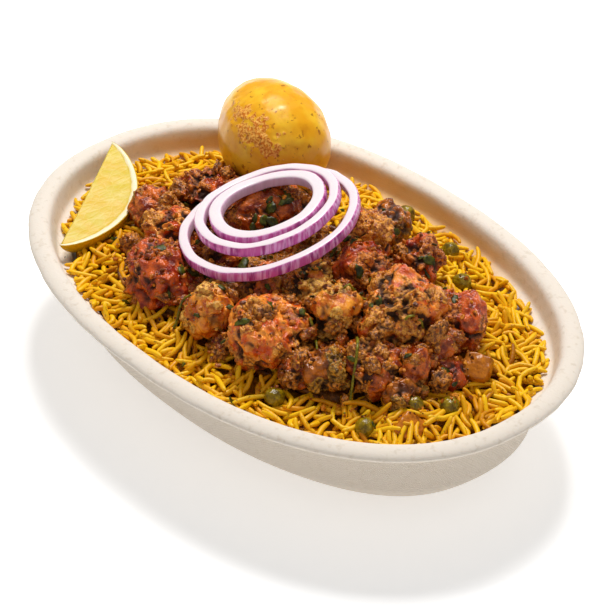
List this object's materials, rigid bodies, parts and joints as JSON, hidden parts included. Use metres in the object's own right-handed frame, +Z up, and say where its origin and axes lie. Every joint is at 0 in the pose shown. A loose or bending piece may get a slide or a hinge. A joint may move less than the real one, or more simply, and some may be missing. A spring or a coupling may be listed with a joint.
{
  "type": "biryani",
  "caption": "Oval moulded-fibre bowl heaped with spiced basmati rice, chicken pieces in masala, a boiled egg, a lemon wedge and sliced red onion.",
  "frame": {"origin": "bottom centre of the bowl, on the surface it stands on", "axes": "+X along the bowl's long axis, away from the lemon wedge; +Y across it, towards the egg's side; +Z up"},
  "size_m": [0.23, 0.16, 0.0793],
  "materials": {
    "fibre": "matt moulded plant fibre, warm off-white, with a fine screen imprint outside",
    "rice": "cooked basmati grains, bright to brownish yellow, lightly oiled",
    "masala": "thick brown gravy with crumbs and chopped herbs, oily",
    "chicken": "torn chicken pieces with a rough red-brown masala coating, moist",
    "egg": "boiled egg stained golden yellow with brown specks, soft gloss",
    "lemon": "juicy yellow flesh, pale pith, pitted yellow rind",
    "onion": "white cut faces, streaked purple skin, moist",
    "pea": "cooked olive-green pea, glossy",
    "carrot": "cooked carrot die, orange, moist"
  },
  "bodies": {
    "root": {"bowl": "fibre", "rice": "rice", "masala": "masala", "egg": "egg", "lemon_wedge": "lemon", "onion_ring_1": "onion", "onion_ring_2": "onion", "onion_ring_3": "onion", "pea_1": "pea", "pea_2": "pea", "pea_3": "pea", "pea_4": "pea", "pea_5": "pea", "pea_6": "pea", "pea_7": "pea", "carrot_1": "carrot", "carrot_2": "carrot", "chicken_01": "chicken", "chicken_02": "chicken", "chicken_03": "chicken", "chicken_04": "chicken", "chicken_05": "chicken", "chicken_06": "chicken", "chicken_07": "chicken", "chicken_08": "chicken", "chicken_09": "chicken", "chicken_10": "chicken", "chicken_11": "chicken", "chicken_12": "chicken", "chicken_13": "chicken", "chicken_14": "chicken", "chicken_15": "chicken", "chicken_16": "chicken", "chicken_17": "chicken", "chicken_18": "chicken", "chicken_19": "chicken", "chicken_20": "chicken", "chicken_21": "chicken", "chicken_22": "chicken", "chicken_23": "chicken", "chicken_24": "chicken"}
  },
  "joints": []
}
